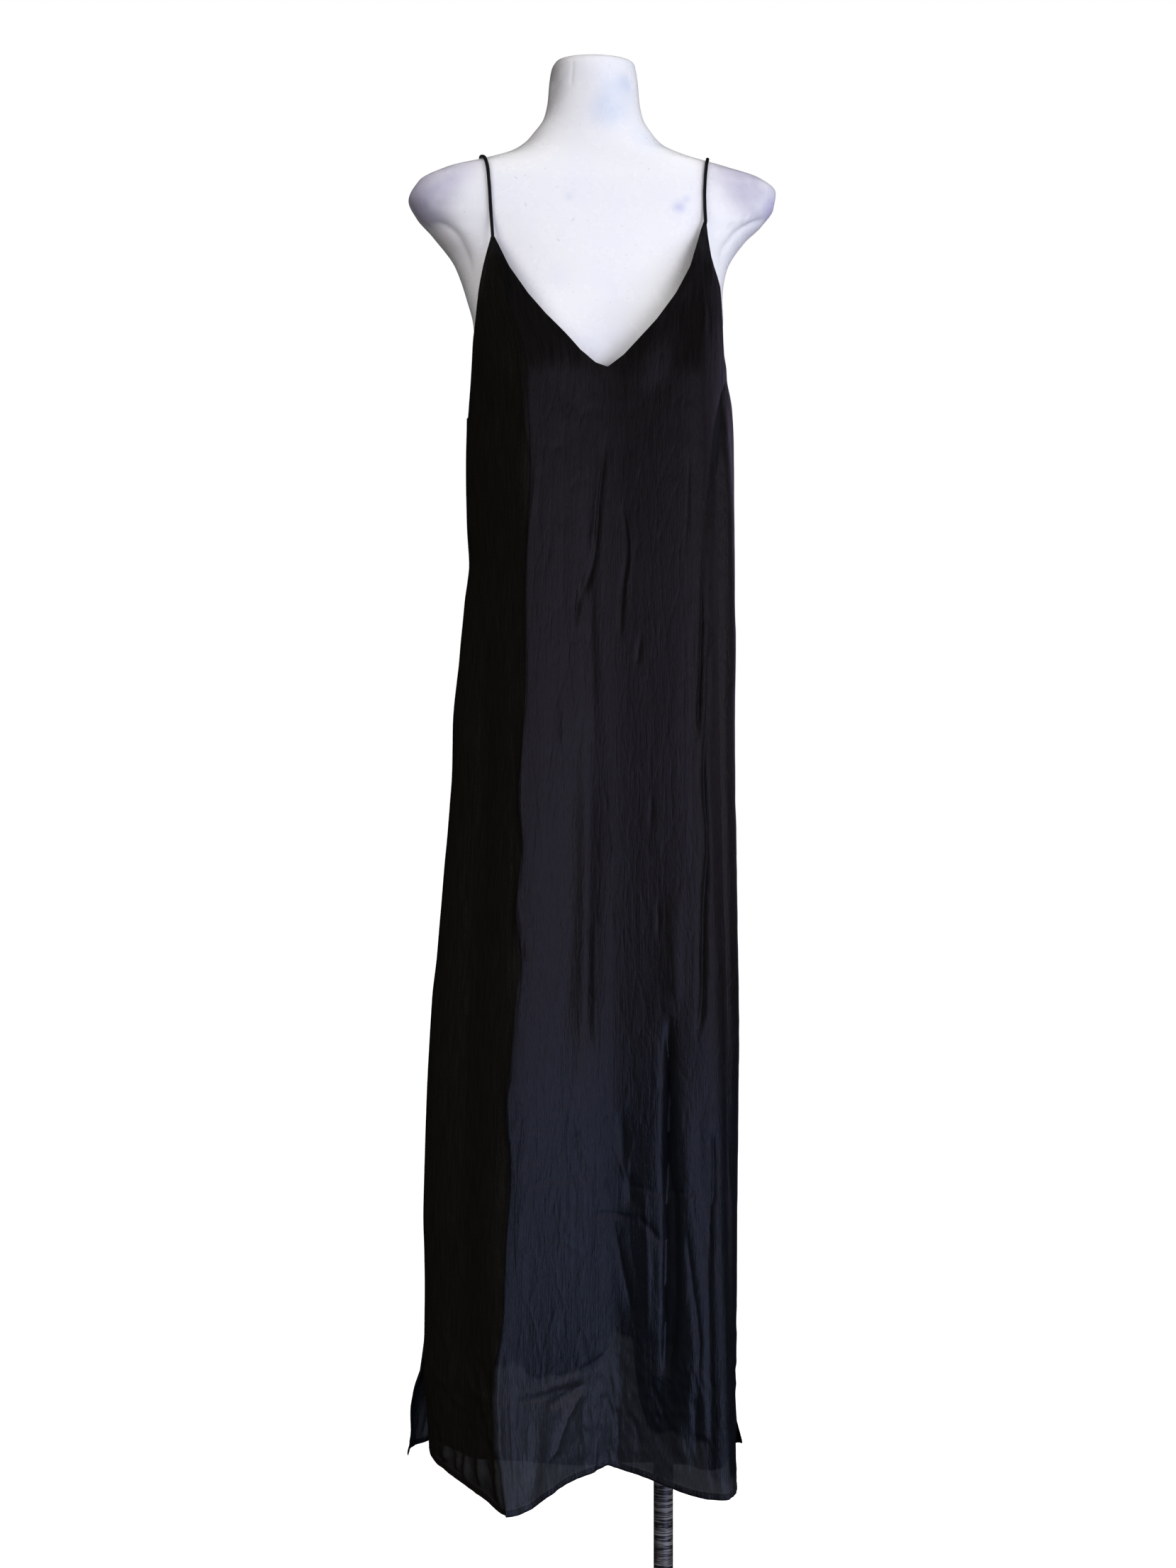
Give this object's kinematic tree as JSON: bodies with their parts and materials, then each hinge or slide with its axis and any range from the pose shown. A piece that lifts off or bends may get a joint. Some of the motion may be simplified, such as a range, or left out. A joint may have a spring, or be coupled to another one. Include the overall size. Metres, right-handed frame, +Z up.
{
  "type": "slip dress on dress form",
  "caption": "Long black satin slip dress with thin straps, a V neck and side slits, hanging on a white limbless dress form with a pole and a round base.",
  "frame": {"origin": "centre of the base plate's underside, on the floor under the dress form's upright axis", "axes": "+Z up, the dress's front faces -Y, +X to the right of someone who looks at the front"},
  "size_m": [0.3905, 0.35, 1.6965],
  "materials": {
    "dress_satin": "crinkled satin with a soft sheen, slightly sheer",
    "lining_cloth": "plain matt lining",
    "strap_satin": "narrow rolled satin strap",
    "form_shell": "glossy white shell with faint scuffs and stains",
    "pole_steel": "dark worn metal with fine scratches",
    "base_steel": "brushed"
  },
  "bodies": {
    "root": {"front_panel": "dress_satin", "back_panel": "dress_satin", "lining_front": "lining_cloth", "lining_back": "lining_cloth", "strap_left": "strap_satin", "strap_right": "strap_satin", "dress_form": "form_shell", "form_collar": "pole_steel", "pole": "pole_steel", "base_collar": "pole_steel", "base_plate": "base_steel"}
  },
  "joints": []
}
